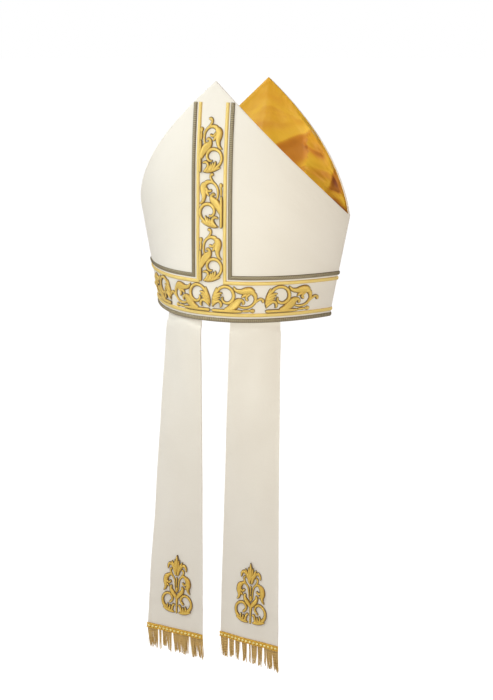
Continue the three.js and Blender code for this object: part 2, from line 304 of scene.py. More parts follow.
def effect(name, inputs, outputs):
    """A node group with named sockets."""
    tree = bpy.data.node_groups.new(name, "ShaderNodeTree")
    for label, kind, value in inputs:
        socket = tree.interface.new_socket(label, in_out="INPUT", socket_type=kind)
        if value is not None:
            socket.default_value = value
    for label in outputs:
        tree.interface.new_socket(label, in_out="OUTPUT", socket_type="NodeSocketFloat")
    return tree, add(tree, "NodeGroupInput"), add(tree, "NodeGroupOutput")


# %% Satin weave
satin_weave, given, result = effect(
    "Satin weave",
    [("Vector", "NodeSocketVector", None), ("Threads per metre", "NodeSocketFloat", 1800)],
    ["Height", "Shade"],
)
warp = add(satin_weave, "ShaderNodeTexWave", wave_type="BANDS", bands_direction="X")
weft = add(satin_weave, "ShaderNodeTexWave", wave_type="BANDS", bands_direction="Y")
slub = add(satin_weave, "ShaderNodeTexNoise")
# Scales at which a wave texture's bands are about one metre apart, and two for the weft.
WARP_SCALE = 0.315
WEFT_SCALE = 0.1575
for wave, one_a_metre in ((warp, WARP_SCALE), (weft, WEFT_SCALE)):
    join(satin_weave, given.outputs["Vector"], wave.inputs["Vector"])
    scale = number(satin_weave, "MULTIPLY", given.outputs["Threads per metre"], one_a_metre)
    join(satin_weave, scale, wave.inputs["Scale"])
    wave.inputs["Distortion"].default_value = 1.2
    wave.inputs["Detail"].default_value = 2
join(satin_weave, given.outputs["Vector"], slub.inputs["Vector"])
slub.inputs["Scale"].default_value = 420
slub.inputs["Detail"].default_value = 4
crossing = number(satin_weave, "MULTIPLY", warp.outputs["Fac"], weft.outputs["Fac"])
height = number(satin_weave, "ADD", crossing, slub.outputs["Fac"])
join(satin_weave, height, result.inputs["Height"])
shade = number(satin_weave, "MULTIPLY", height, 0.5)
join(satin_weave, shade, result.inputs["Shade"])
print("effect:", satin_weave.name)

# %% Stitch rows
ROW_SCALE = 0.314
stitch_rows, given, result = effect(
    "Stitch rows",
    [("Vector", "NodeSocketVector", None), ("Threads per metre", "NodeSocketFloat", 1600)],
    ["Height", "Shade"],
)
rows = add(stitch_rows, "ShaderNodeTexWave", wave_type="BANDS", bands_direction="X")
fray = add(stitch_rows, "ShaderNodeTexNoise")
join(stitch_rows, given.outputs["Vector"], rows.inputs["Vector"])
scale = number(stitch_rows, "MULTIPLY", given.outputs["Threads per metre"], ROW_SCALE)
join(stitch_rows, scale, rows.inputs["Scale"])
rows.inputs["Distortion"].default_value = 0.8
rows.inputs["Detail"].default_value = 1
join(stitch_rows, given.outputs["Vector"], fray.inputs["Vector"])
fray.inputs["Scale"].default_value = 260
fray.inputs["Detail"].default_value = 3
join(stitch_rows, rows.outputs["Fac"], result.inputs["Height"])
# The shade is painted shade in the grooves between rows of stitches, with random fray on top.
grooves_and_fray = number(stitch_rows, "MULTIPLY", rows.outputs["Fac"], 0.45)
grooves_and_fray = number(stitch_rows, "ADD", grooves_and_fray, fray.outputs["Fac"])
join(stitch_rows, number(stitch_rows, "MULTIPLY", grooves_and_fray, 0.7), result.inputs["Shade"])
print("effect:", stitch_rows.name)

# %% Cloth tint
RIPPLES_PER_PATCH = 5
cloth_tint, given, result = effect(
    "Cloth tint",
    [("Vector", "NodeSocketVector", None), ("Patches per metre", "NodeSocketFloat", 9)],
    ["Shade", "Height"],
)
patches = add(cloth_tint, "ShaderNodeTexNoise")
ripple = add(cloth_tint, "ShaderNodeTexNoise")
join(cloth_tint, given.outputs["Vector"], patches.inputs["Vector"])
join(cloth_tint, given.outputs["Patches per metre"], patches.inputs["Scale"])
patches.inputs["Detail"].default_value = 3
join(cloth_tint, given.outputs["Vector"], ripple.inputs["Vector"])
fine = number(cloth_tint, "MULTIPLY", given.outputs["Patches per metre"], RIPPLES_PER_PATCH)
join(cloth_tint, fine, ripple.inputs["Scale"])
join(cloth_tint, patches.outputs["Fac"], result.inputs["Shade"])
join(cloth_tint, ripple.outputs["Fac"], result.inputs["Height"])
print("effect:", cloth_tint.name)


# %% Material parts
def use(tree, group, vector, value):
    """An effect placed in a material, with its one number set."""
    node = add(tree, "ShaderNodeGroup", node_tree=group)
    join(tree, vector, node.inputs["Vector"])
    node.inputs[1].default_value = value
    return node


def ramp(tree, source, stops):
    """A colour ramp: stops are (position, (r, g, b)) in linear light."""
    node = add(tree, "ShaderNodeValToRGB")
    while len(node.color_ramp.elements) < len(stops):
        node.color_ramp.elements.new(0.5)
    for element, (position, colour) in zip(node.color_ramp.elements, stops):
        element.position = position
        element.color = (*colour, 1)
    join(tree, source, node.inputs["Fac"])
    return node.outputs["Color"]


def shaded(tree, colour, threads):
    """A colour darkened between its threads, at half strength."""
    node = add(tree, "ShaderNodeMix", data_type="RGBA", blend_type="MULTIPLY")
    colour_sockets = [socket for socket in node.inputs if socket.type == "RGBA"]
    for socket, source in zip(colour_sockets, (colour, threads)):
        join(tree, source, socket)
    node.inputs[0].default_value = 0.5
    return next(socket for socket in node.outputs if socket.type == "RGBA")


def bumped(tree, shader, layers):
    """Bump nodes in a chain: layers are (height socket, depth in metres)."""
    last = None
    for height, depth in layers:
        node = add(tree, "ShaderNodeBump")
        node.inputs["Strength"].default_value = 1
        node.inputs["Distance"].default_value = depth
        join(tree, height, node.inputs["Height"])
        if last is not None:
            join(tree, last.outputs["Normal"], node.inputs["Normal"])
        last = node
    join(tree, last.outputs["Normal"], shader.inputs["Normal"])


def new_finish(name, roughness, metallic=0.0, specular=0.5, sheen=0.0, sheen_tint=(1, 1, 1)):
    """A material with its shader set, and the UV of its piece to read."""
    material = bpy.data.materials.new(name)
    material.use_nodes = True
    tree = material.node_tree
    shader = tree.nodes["Principled BSDF"]
    shader.inputs["Roughness"].default_value = roughness
    shader.inputs["Metallic"].default_value = metallic
    shader.inputs["Specular IOR Level"].default_value = specular
    shader.inputs["Sheen Weight"].default_value = sheen
    shader.inputs["Sheen Roughness"].default_value = 0.4
    shader.inputs["Sheen Tint"].default_value = (*sheen_tint, 1)
    uv = add(tree, "ShaderNodeUVMap", uv_map="UVMap").outputs["UV"]
    return material, tree, shader, uv


# %% [markdown]
# Ivory satin is a warm white with a soft gloss and hardly any pattern: the floats of thread
# are finer than a tenth of a millimetre, so at arm's length they only soften the shine. The
# colour drifts a little over a hand's width, and the surface has a very shallow ripple from
# the stiffening under it.

# %% Ivory satin
IVORY = (0.905, 0.892, 0.825)
IVORY_SHADE = (0.868, 0.850, 0.775)
ivory_satin, tree, shader, uv = new_finish("ivory_satin", 0.5, specular=0.25, sheen=0.1)
weave = use(tree, satin_weave, uv, 1800)
tint = use(tree, cloth_tint, uv, 9)
colour = ramp(tree, tint.outputs["Shade"], [(0.3, IVORY_SHADE), (0.62, IVORY)])
threads = ramp(tree, weave.outputs["Shade"], [(0.2, (0.93, 0.93, 0.93)), (0.7, (1, 1, 1))])
join(tree, shaded(tree, colour, threads), shader.inputs["Base Color"])
bumped(tree, shader, [(weave.outputs["Height"], 0.06 * MM), (tint.outputs["Height"], 0.5 * MM)])
print("finish:", ivory_satin.name)

# %% [markdown]
# The gusset is thin gold satin. Its colour swings from lemon gold on the folds that face the
# light to orange brown in the creases. Most of that is light and shade on the thread's own
# sheen, which a flat colour can't give, so it is painted into the colour: the folded piece
# carries an attribute of painted fold shading, high for a painted highlight on a ridge and
# low for painted shade beside it, and the finish turns it into colour. The lining inside the
# horns lies flat and has the same finish without folds.

# %% Gold satin
# The gold satin's colours, from painted shade in a deep crease to a painted highlight on a ridge.
GOLD_SHADE_TO_HIGHLIGHT = [
    (0.0, (0.25, 0.07, 0.022)),
    (0.34, (0.63, 0.265, 0.03)),
    (0.62, (0.78, 0.46, 0.034)),
    (1.0, (0.90, 0.62, 0.06)),
]
FLAT_TONE = 0.6


def gold_satin(name, folded):
    material, tree, shader, uv = new_finish(
        name, 0.4, specular=0.16, sheen=0.12, sheen_tint=(1, 0.72, 0.2)
    )
    weave = use(tree, satin_weave, uv, 2400)
    tint = use(tree, cloth_tint, uv, 14)
    drift = number(tree, "MULTIPLY", number(tree, "SUBTRACT", tint.outputs["Shade"], 0.5), 0.55)
    tone = FLAT_TONE
    # The folded gusset reads its painted highlight and shade from an attribute.
    if folded:
        tone = add(tree, "ShaderNodeAttribute", attribute_name="painted_fold_shading").outputs["Fac"]
    colour = ramp(tree, number(tree, "ADD", drift, tone), GOLD_SHADE_TO_HIGHLIGHT)
    threads = ramp(tree, weave.outputs["Shade"], [(0.2, (0.88, 0.85, 0.78)), (0.7, (1, 1, 1))])
    join(tree, shaded(tree, colour, threads), shader.inputs["Base Color"])
    bumped(tree, shader, [(weave.outputs["Height"], 0.05 * MM), (tint.outputs["Height"], 0.6 * MM)])
    return material


gusset_satin = gold_satin("gusset_satin", True)
lining_satin = gold_satin("lining_satin", False)
print("finishes:", gusset_satin.name, lining_satin.name)

# %% [markdown]
# Braid, line and embroidery are metal thread: a silk core wrapped in gilt. The stitches run
# across each stroke, so the pattern reads the stroke's own UV map, where u is the distance
# along it in metres and v the place across from 0 to 1. The edges of a satin-stitched line
# turn away from the light and are darker.


# %% Thread finishes
EDGE_SHADE = 0.5
RIB_SHADE = 0.5
WARM_SHEEN = (1, 0.85, 0.5)
PALE_SHEEN = (1, 0.95, 0.8)


def thread(
    name, shade_colour, light, per_metre, roughness, metallic, depth,
    tint=WARM_SHEEN, ribs=0, spread=(0.05, 0.62),
):
    """Metal thread: its two colours are the gold in painted shade in a groove and with a painted highlight
    on a ridge.
    """
    material, tree, shader, uv = new_finish(
        name, roughness, metallic=metallic, specular=0.5, sheen=0.15, sheen_tint=tint
    )
    stitches = use(tree, stitch_rows, uv, per_metre)
    part = add(tree, "ShaderNodeSeparateXYZ")
    join(tree, uv, part.inputs[0])
    off_middle = number(tree, "ABSOLUTE", number(tree, "SUBTRACT", part.outputs["Y"], 0.5), 0)
    fall = number(tree, "POWER", number(tree, "MULTIPLY", off_middle, 2), 3)
    edge = number(tree, "MULTIPLY", fall, EDGE_SHADE)
    tone = number(tree, "SUBTRACT", stitches.outputs["Shade"], edge)
    if ribs:
        plait = use(tree, stitch_rows, uv, ribs)
        lift = number(tree, "SUBTRACT", plait.outputs["Height"], 0.5)
        lift = number(tree, "MULTIPLY", lift, RIB_SHADE)
        tone = number(tree, "ADD", tone, lift)
    # The ramp paints shade in the grooves and at the edges and a highlight on the ridges; random fray
    # moves between them too.
    join(tree, ramp(tree, tone, [(spread[0], shade_colour), (spread[1], light)]), shader.inputs["Base Color"])
    bumped(tree, shader, [(stitches.outputs["Height"], depth)])
    return material


line_gold = thread("line_gold", (0.72, 0.46, 0.11), (0.97, 0.80, 0.28), 1500, 0.4, 0.1, 0.1 * MM)
scroll_gold = thread(
    "scroll_gold", (0.42, 0.20, 0.022), (1.0, 0.765, 0.20), 1500, 0.28, 0.25, 0.14 * MM,
    spread=(0.05, 0.6),
)
sprig_gold = thread(
    "sprig_gold", (0.44, 0.19, 0.016), (1.0, 0.73, 0.15), 1500, 0.25, 0.3, 0.14 * MM,
    spread=(0.05, 0.6),
)
bead_gold = thread("bead_gold", (0.95, 0.74, 0.22), (1.0, 0.96, 0.45), 1200, 0.28, 0.1, 0.05 * MM)
heading_gold = thread("heading_gold", (0.42, 0.20, 0.018), (0.95, 0.61, 0.08), 1500, 0.36, 0.3, 0.1 * MM)
fringe_gold = thread(
    "fringe_gold", (0.30, 0.16, 0.03), (0.92, 0.66, 0.24), 1500, 0.4, 0.2, 0.05 * MM,
    spread=(0.2, 0.6),
)
dark_braid = thread(
    "dark_braid", (0.065, 0.054, 0.028), (0.46, 0.40, 0.26), 1400, 0.42, 0.3, 0.1 * MM,
    tint=PALE_SHEEN, ribs=435,
)
outline_thread = thread(
    "outline_thread", (0.10, 0.07, 0.035), (0.26, 0.19, 0.10), 1400, 0.6, 0.1, 0.05 * MM,
    tint=PALE_SHEEN,
)
print("gold finishes:", line_gold.name, scroll_gold.name, sprig_gold.name, bead_gold.name)
print("and:", heading_gold.name, fringe_gold.name, dark_braid.name, outline_thread.name)

# %% [markdown]
# ## The horns
#
# Each horn is a wall of satin laid over stiffening, 2 mm thick. The slab is placed on the
# horn's surface column by column, up to the free edge, and its long corners are bevelled a
# little, because cloth turned over a stiff edge is never knife sharp. The face inside takes
# the gold lining that the gusset's cloth belongs to.

# %% Make the horns
HORN_COLUMNS = 120
HORN_ROWS = 64
CORNER_ANGLE = math.radians(60)
TURNED_EDGE = 0.4 * MM


def horn(side):
    """One horn, from rim to free edge, with its lining."""
    block = slab(HORN_COLUMNS, HORN_ROWS)
    arc = 2 * walk(side, 0)[-1]

    def place(x, y, z):
        ratio = math.sin((x - 0.5) * math.pi)
        return on_horn(side, ratio, y * edge_height(ratio), (z - 1) * PANEL_WALL)

    inner = {face for face in block.faces if all(vert.co.z < 0.5 for vert in face.verts)}
    shaped(block, place, (arc, PEAK_HEIGHT))
    for face in inner:
        face.material_index = 1
    rims = [edge for edge in block.edges if edge.calc_face_angle(0) > CORNER_ANGLE]
    bmesh.ops.bevel(
        block, geom=rims, offset=TURNED_EDGE, offset_type="OFFSET", affect="EDGES", segments=2,
        profile=0.5, material=-1,
    )
    piece = finished(f"{side}_horn", block, [ivory_satin, lining_satin], "white_satin", [f"{side}_panel"])


for side in HORNS:
    horn(side)

# %% [markdown]
# ## The gusset
#
# The gusset is a lens of thin satin sewn just inside both free edges. It hangs between the
# horns as a valley, and because it is cut a little full it buckles into a few slanting folds
# and puckers along its seam. A cloth simulation would buckle it too, but elsewhere each
# time its settings change, so the main folds are placed by a short table and the fine
# puckers by noise. A fold is a ridge along a short route, and it falls away at its own rate
# on each side.

# %% Folds of the gusset
GUSSET_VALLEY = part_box("crown_gusset")[0].z + 21.5 * MM
GUSSET_WALL = 1.0 * MM
GUSSET_TUCK = 1.2 * MM
GUSSET_GAP = 0.3 * MM
GUSSET_REACH = 0.985
GUSSET_SPREAD = 1.9
GUSSET_FULLNESS = 1.2
FOLD_COLUMNS = ("route", "rise", "left", "right", "light", "dark", "reach")
# route: (ratio across, share from valley to edge) points. rise: height in mm. left and
# right: width of its two flanks in mm, looking along the route. light: painted highlight added
# on the left. dark: painted shade taken on the right, or painted light given there if below
# zero, as far as reach in mm.
FRONT_FOLDS = [
    ([(0.11, 0.43), (0.15, 0.47), (0.23, 0.58), (0.28, 0.67), (0.36, 0.81), (0.43, 1.0)],
     4.0, 16, 5, 0.22, 0.22, 24),
    ([(0.445, 1.0), (0.395, 0.80), (0.40, 0.75), (0.43, 0.65), (0.45, 0.53), (0.455, 0.40)],
     3.0, 13, 4, 0.26, -0.16, 3),
    ([(0.41, 0.71), (0.47, 0.745), (0.53, 0.82)], 2.0, 6, 3, 0.0, 0.36, 5),
    ([(0.46, 0.47), (0.57, 0.58), (0.70, 0.76)], 1.6, 6, 5, 0.04, 0.22, 12),
    ([(0.49, 0.46), (0.57, 0.48), (0.65, 0.50)], 1.0, 4, 3, 0.0, 0.08, 3),
    ([(0.71, 0.34), (0.725, 0.44), (0.72, 0.54), (0.71, 0.72), (0.705, 1.0)], 3.0, 9, 3, 0.10, 0.42, 20),
    ([(0.70, 0.35), (0.81, 0.60), (0.90, 1.0)], 1.6, 2, 5, 0.0, -0.40, 13),
    ([(0.80, 0.30), (0.90, 0.38), (0.98, 0.60)], 1.2, 3, 3, 0.0, 0.34, 14),
    ([(-0.02, 0.75), (0.02, 0.76), (0.07, 0.79), (0.16, 0.82), (0.29, 0.90)], 1.2, 6, 5, 0.06, 0.13, 4),
    ([(-0.11, 0.74), (0.0, 0.70), (0.08, 0.73), (0.18, 0.79)], 1.0, 5, 5, 0.10, -0.10, 5),
    ([(-0.05, 0.62), (0.03, 0.63), (0.14, 0.68), (0.22, 0.78), (0.32, 0.95)], 1.0, 4, 5, 0.0, 0.12, 5),
    ([(-0.04, 0.90), (0.02, 0.87), (0.08, 0.90)], 0.8, 5, 5, 0.0, 0.08, 4),
    ([(-0.75, 0.95), (-0.62, 0.60), (-0.50, 0.30)], 3.0, 12, 4, 0.25, 0.35, 16),
    ([(-0.55, 0.98), (-0.42, 0.70), (-0.28, 0.40)], 2.2, 10, 6, 0.20, 0.16, 12),
]
BACK_FOLDS = [
    ([(0.20, 0.98), (0.12, 0.70), (0.02, 0.42)], 4.0, 14, 4, 0.30, 0.30, 20),
    ([(0.52, 0.96), (0.40, 0.72), (0.36, 0.44)], 3.0, 8, 4, 0.28, 0.30, 12),
    ([(0.82, 0.94), (0.70, 0.62), (0.66, 0.36)], 2.6, 9, 4, 0.22, 0.36, 14),
    ([(-0.16, 0.94), (-0.24, 0.68), (-0.22, 0.42)], 2.4, 9, 5, 0.20, 0.14, 10),
    ([(-0.48, 0.95), (-0.44, 0.66), (-0.50, 0.38)], 3.0, 12, 4, 0.25, 0.30, 15),
    ([(-0.80, 0.94), (-0.72, 0.62), (-0.74, 0.36)], 2.2, 8, 4, 0.20, 0.32, 12),
]
# Rough size in mm of half the gusset, in which distances from a route are measured.
GUSSET_SPAN = (138, 110)
SHADE_START = 1.6
SHADE_END = 1.8


def beside(route, spot):
    """Distance in mm from a route: below zero on its left and above zero on its right."""
    best = math.inf
    for start, end in zip(route, route[1:]):
        along = end - start
        share = max(0, min(1, (spot - start).dot(along) / along.length_squared))
        offset = spot - start - along * share
        if offset.length < abs(best):
            best = math.copysign(offset.length, along.y * offset.x - along.x * offset.y)
    return best


def routed(rows):
    """The rows of a table as folds, with their routes in mm."""
    folds = [dict(zip(FOLD_COLUMNS, row)) for row in rows]
    for fold in folds:
        fold["route"] = [Vector((x * GUSSET_SPAN[0], y * GUSSET_SPAN[1])) for x, y in fold["route"]]
    return folds


GUSSET_FOLDS = {"front": routed(FRONT_FOLDS), "back": routed(BACK_FOLDS)}


@functools.lru_cache(maxsize=None)
def folded(side, ratio, share):
    """How far the folds lift the gusset, in mm, and the painted highlight and shade they add."""
    spot = Vector((ratio * GUSSET_SPAN[0], share * GUSSET_SPAN[1]))
    rise, tone = 0.0, 0.0
    for fold in GUSSET_FOLDS[side]:
        aside = beside(fold["route"], spot)
        width = fold["left"] if aside < 0 else fold["right"]
        rise += fold["rise"] * math.exp(-((aside / width) ** 2))
        if aside < 0:
            tone += fold["light"] * math.exp(-((aside / fold["left"]) ** 2))
        else:
            start = 1 - math.exp(-aside / SHADE_START)
            tone -= fold["dark"] * start / (1 + math.exp((aside - fold["reach"]) / SHADE_END))
    return rise, tone


print("folds:", len(FRONT_FOLDS) + len(BACK_FOLDS))

# %% Make the gusset
GUSSET_COLUMNS = 190
GUSSET_ROWS = 150
GUSSET_CLOTH = 0.3
# The valley's line is smoothed over this much of the ratio, most in the middle.
VALLEY_EASE = 0.16
# Heights in mm of the waves that are left to noise, and how fast they follow each other.
BUCKLE = 1.2
CREASE = 0.5
PUCKER = 0.7
BUCKLES_PER_METRE = 26
CREASES_PER_BUCKLE = 2.7
PUCKER_TURN = 0.8
# In mm: how far from the seam puckers fade and the cloth is free, and how long it must be.
PUCKER_REACH = 7
SEAM_HOLD = 5
CORNER_HOLD = 40
# The painted tone is a little lighter along the seam, with painted shade towards the corners.
SEAM_LIGHT = 0.05
SEAM_LIGHT_REACH = 3
CORNER_START = 0.85
CORNER_SHADE = 0.25


def gusset_point(x, y):
    """The middle of the gusset's cloth: x across and y from back to front, 0 to 1."""
    ratio = GUSSET_REACH * math.sin((x - 0.5) * math.pi)
    side = "back" if y < 0.5 else "front"
    share = abs(y - 0.5) * 2
    ease = VALLEY_EASE * (1 - share) * (1 - ratio * ratio)
    spread = 1 - (1 - share) ** GUSSET_SPREAD
    point, edge, fold = Vector(), Vector(), Vector()
    for weight, shift in ((0.25, -ease), (0.5, 0), (0.25, ease)):
        at = ratio + shift
        top = edge_height(at) - GUSSET_TUCK
        rim = on_horn(side, -HORNS[side]["out"] * at, top, -PANEL_WALL - GUSSET_GAP - GUSSET_WALL / 2)
        valley = mix(SHOULDER_HEIGHT, GUSSET_VALLEY, 1 - at * at)
        low = Vector((at * SHOULDER_HALF_WIDTH, 0, min(valley, top - 1 * MM)))
        between = (mix(low.x, rim.x, share), mix(low.y, rim.y, spread), mix(low.z, rim.z, share))
        point += Vector(between) * weight
        edge += rim * weight
        fold += low * weight
    length = (edge - fold).length / MM
    down = (1 - share) * length
    spot = Vector((point.x * BUCKLES_PER_METRE, point.z * BUCKLES_PER_METRE, HORNS[side]["out"] * 5))
    rise = GUSSET_FULLNESS + folded(side, ratio, share)[0]
    rise += BUCKLE * noise.noise(spot)
    rise += CREASE * noise.noise(spot * CREASES_PER_BUCKLE)
    turn = point.x / MM * PUCKER_TURN + 2 * noise.noise(spot * 2)
    rise += PUCKER * math.exp(-down / PUCKER_REACH) * math.sin(turn)
    held = min(1, down / SEAM_HOLD) * min(1, length / CORNER_HOLD) * min(1, 0.25 + share * 2)
    inward = Vector((0, -HORNS[side]["out"] * 0.8, 0.6))
    return point + inward * (rise * held * MM)


def painted_gusset_shading(x, y):
    """Painted light and shade on the satin: 0 in a deep crease and 1 on a bright ridge."""
    ratio = GUSSET_REACH * math.sin((x - 0.5) * math.pi)
    share = abs(y - 0.5) * 2
    tone = FLAT_TONE + folded("back" if y < 0.5 else "front", ratio, share)[1]
    seam = SEAM_LIGHT * math.exp(-(((1 - share) * GUSSET_SPAN[1] / SEAM_LIGHT_REACH) ** 2))
    return tone + seam - CORNER_SHADE * max(0, abs(ratio) - CORNER_START) / (1 - CORNER_START)


def make_gusset():
    block = slab(GUSSET_COLUMNS, GUSSET_ROWS)

    def place(x, y, z):
        return gusset_point(x, y) + Vector((0, 0, (z - 0.5) * GUSSET_WALL))

    # Each point keeps the painted highlight and shade of the folds.
    tone = block.verts.layers.float.new("painted_fold_shading")
    for vert in block.verts:
        vert[tone] = painted_gusset_shading(vert.co.x, vert.co.y)
    shaped(block, place, (GUSSET_CLOTH, GUSSET_CLOTH))
    piece = finished("gusset", block, [gusset_satin], "gold_satin", ["crown_gusset"])


make_gusset()

# %% [markdown]
# ## Braids and gold lines
#
# The dark braid is a flat plait about 5 mm wide, couched on by hand: its strands cross in
# small slanting ribs. The gold line inside it is satin stitch over a cord. Both come down
# beside the centre strip, turn a square corner and run out to the side seam, and a second
# pair goes right round the rim. A curve with a bevel would twist on the horn's double
# curve, so a long thin slab is placed on the surface instead, crowned across and, for the
# braid, ribbed along.

# %% Strip profiles
BRAID_WIDTH = 4.8 * MM
LINE_WIDTH = 4.3 * MM
BRAID_RIB = 2.3 * MM
SUNK = -0.2 * MM


def crown(across):
    """A rounded profile: 1 in the middle and 0 at both edges, across from 0 to 1."""
    return max(0, 1 - abs(2 * across - 1) ** 2.6) ** 0.6


def braid_height(along, across):
    lean = abs(across - 0.5) * 4
    rib = 0.5 + 0.5 * math.sin(2 * math.pi * along / BRAID_RIB + lean)
    return (0.25 + crown(across) * (0.65 + 0.6 * rib)) * MM


def line_height(along, across):
    waver = 0.06 * noise.noise(Vector((along * 400, across * 3, 0)))
    return (0.15 + crown(across) * (1.05 + waver)) * MM


STRIPS = {
    "braid": {"width": BRAID_WIDTH, "height": braid_height, "step": BRAID_RIB / 6, "rows": 6},
    "cord": {"width": LINE_WIDTH, "height": line_height, "step": 2.4 * MM, "rows": 8},
}
print("strips:", ", ".join(STRIPS))

# %% Lines with a square corner
LINE_TOP = 250.4 * MM
CORNERS = {"braid": (23.4 * MM, 52.9 * MM), "cord": (17.1 * MM, 46.5 * MM)}
STRIP_LOOKS = {"braid": ([dark_braid], "dark_braid"), "cord": ([line_gold], "gold_thread")}


def corner_strip(side, hand, kind):
    """Down beside the centre, round the corner, and out to the seam."""
    strip = STRIPS[kind]
    corner_across, corner_up = CORNERS[kind]
    down = LINE_TOP - corner_up
    out_length = walk(side, round(corner_up / WALK_LEVEL))[-1] - corner_across
    length = down + out_length
    turn = down / length
    columns = round(length / strip["step"])
    turn_column = round(turn * columns)

    def place(x, y, z):
        aside = (y - 0.5) * strip["width"]
        out = strip["height"](x * length, y) if z > 0.5 else SUNK
        column = x * columns
        if column <= turn_column + 0.01:
            ratio = (corner_across + aside) / half_width(LINE_TOP)
            top = min(LINE_TOP, edge_height(ratio) - 0.4 * MM)
            up = mix(top, corner_up + aside, column / turn_column)
            return on_horn(side, hand * (corner_across + aside) / half_width(up), up, out)
        up = corner_up + aside
        start = math.asin((corner_across + aside) / half_width(up)) / (math.pi / 2)
        sweep = mix(start, 1, (column - turn_column) / (columns - turn_column))
        return on_horn(side, hand * math.sin(sweep * math.pi / 2), up, out)

    return shaped(slab(columns, strip["rows"]), place, (length, 1))


for side in HORNS:
    for hand, turn in (("right", 1), ("left", -1)):
        for kind in STRIPS:
            finished(
                f"{side}_{kind}_{hand}_stitched", corner_strip(side, turn, kind), *STRIP_LOOKS[kind],
                [f"{side}_{kind}_{hand}"],
            )

# %% Strips round the rim
RIM_STRIPS = {"rim_braid": ("braid", 2.65 * MM), "rim_cord": ("cord", 9.15 * MM)}


def rim_strip(side, kind, middle):
    """Half of a strip round the rim, from seam to seam."""
    strip = STRIPS[kind]
    length = 2 * walk(side, round(middle / WALK_LEVEL))[-1]

    def place(x, y, z):
        up = max(0, middle + (y - 0.5) * strip["width"])
        out = strip["height"](x * length, y) if z > 0.5 else SUNK
        ratio = ratio_across(side, (x - 0.5) * length, up)
        return on_horn(side, ratio, up, out)

    return shaped(slab(round(length / strip["step"]), strip["rows"]), place, (length, 1))


for name, (kind, middle) in RIM_STRIPS.items():
    halves = joined([rim_strip(side, kind, middle) for side in HORNS])
    finished(f"{name}_stitched", halves, *STRIP_LOOKS[kind], [name])

# %% [markdown]
# ## Scroll embroidery
#
# The scrolls are padded satin stitch: each bar, stem, curl and leaf lobe is a stroke of gold
# thread laid over padding, high in the middle and low at its edges, with a thin dark line
# couched round it. So a scroll is drawn as strokes, each a short list of centre points with
# a width. A stroke is a slab along a smooth curve, rounded at both ends, and a wider, lower
# slab in dark thread under it makes the outline. Where strokes cross, the higher one wins
# and the dark line still shows between them, as it does in the needlework.

# %% Scroll strokes
# Each point is (along the bar, height over it, width), in millimetres.
SCROLL = {
    "bar": [(0.7, 2.2, 3.7), (16, 2.2, 3.7), (27, 2.3, 3.9), (36.8, 2.2, 2.8)],
    "calyx": [(16, 3.2, 3.6), (23, 5.6, 8), (28.5, 10, 10.4), (32.6, 14.6, 8), (36.4, 15.8, 4.4),
              (38.6, 13.2, 3.2), (37.4, 10.8, 2.4)],
    "knob": [(36.6, 2.6, 2.0), (42.6, 2.8, 3.0), (45.8, 2.9, 2.2), (48.4, 3.0, 4.8), (51.2, 3.1, 5.6)],
    "stem": [(31.8, 9.0, 1.4), (36, 7.3, 2.6), (41, 6.9, 3.0), (46, 8.1, 3.1), (50, 11.4, 3.2),
             (52.3, 16, 3.5), (52.2, 21, 4.6), (50, 25.6, 6.6)],
    "flower": [(51, 23.6, 5.4), (46.6, 27.4, 9.4), (41, 27.2, 9), (36, 26.7, 6.2), (31.2, 27.7, 4.4),
               (28.6, 30, 3.0), (27.2, 32.6, 1.0)],
    "flower_lobe": [(43, 24.8, 5.0), (39.6, 22.2, 4.2), (36.4, 19.6, 1.4)],
    "flower_curl": [(46, 23.8, 3.0), (42.9, 21.6, 3.0), (41.9, 18.6, 2.8), (43.4, 15.7, 3.3)],
    "tip": [(51.4, 12.4, 1.6), (54.4, 15.6, 2.6), (57.8, 17.5, 3.0), (60.6, 16.4, 3.3),
            (60.9, 13.2, 3.2)],
    "curl": [(8.2, 27, 4.0), (11, 30.1, 3.6), (15.8, 32.1, 3.6), (21, 31.5, 3.8), (25.3, 28, 3.8),
             (27.2, 22.4, 3.7), (26.4, 17, 3.8), (23, 13, 3.8), (18.6, 11.9, 3.5), (14.9, 13.7, 3.2),
             (13.6, 17, 2.6), (14.6, 19.2, 1.6)],
    "leaf": [(1.6, 6.4, 1.4), (2.3, 12, 4.4), (3.8, 18, 5.8), (5.3, 23.4, 5.2), (6.1, 27.4, 3.6),
             (6.4, 30.4, 1.0)],
    "leaf_back": [(3.2, 22, 3.0), (6.4, 25.4, 4.2), (9.6, 28.4, 3.8)],
    "tooth_high": [(3.0, 19.6, 3.0), (7.4, 22, 3.8), (10.6, 23.5, 3.2), (13.6, 24, 1.2)],
    "tooth_middle": [(2.6, 15.8, 3.0), (6.2, 18.4, 3.6), (9.2, 20.2, 3.0), (12.2, 20.9, 1.0)],
    "tooth_small": [(2.2, 12.4, 2.6), (4.8, 15, 3.2), (8.2, 17.2, 2.6), (11, 17.8, 0.9)],
    "tooth_low": [(1.6, 8, 2.4), (4.2, 11.6, 3.8), (8.0, 14.0, 4.0), (11, 13.2, 3.4), (12.5, 10, 3.0),
                  (11.5, 6.4, 1.4)],
}
SCROLL_LENGTH = 62
# Strokes that lie over their neighbours, and how many layers up.
SCROLL_OVER = {"bar": 2, "calyx": 1, "flower": 1, "flower_curl": 2, "curl": 1, "leaf_back": 1,
               "tooth_high": 2, "tooth_middle": 3, "tooth_small": 2, "tooth_low": 3, "tip": 1}
OUTLINE = 0.46
print("strokes in a scroll:", len(SCROLL))


# %% Stroke helpers
SAMPLES_PER_SPAN = 8
THINNEST = 0.4


def curve_through(points, share):
    """A Catmull-Rom curve through the points, at share from 0 to 1."""
    spans = len(points) - 1
    at = min(spans - 1e-6, share * spans)
    i = int(at)
    t = at - i
    p = [points[max(0, min(spans, i + k))] for k in (-1, 0, 1, 2)]
    return [
        0.5 * (
            2 * b + (c - a) * t + (2 * a - 5 * b + 4 * c - d) * t * t + (3 * b - a - 3 * c + d) * t ** 3
        )
        for a, b, c, d in zip(*p)
    ]


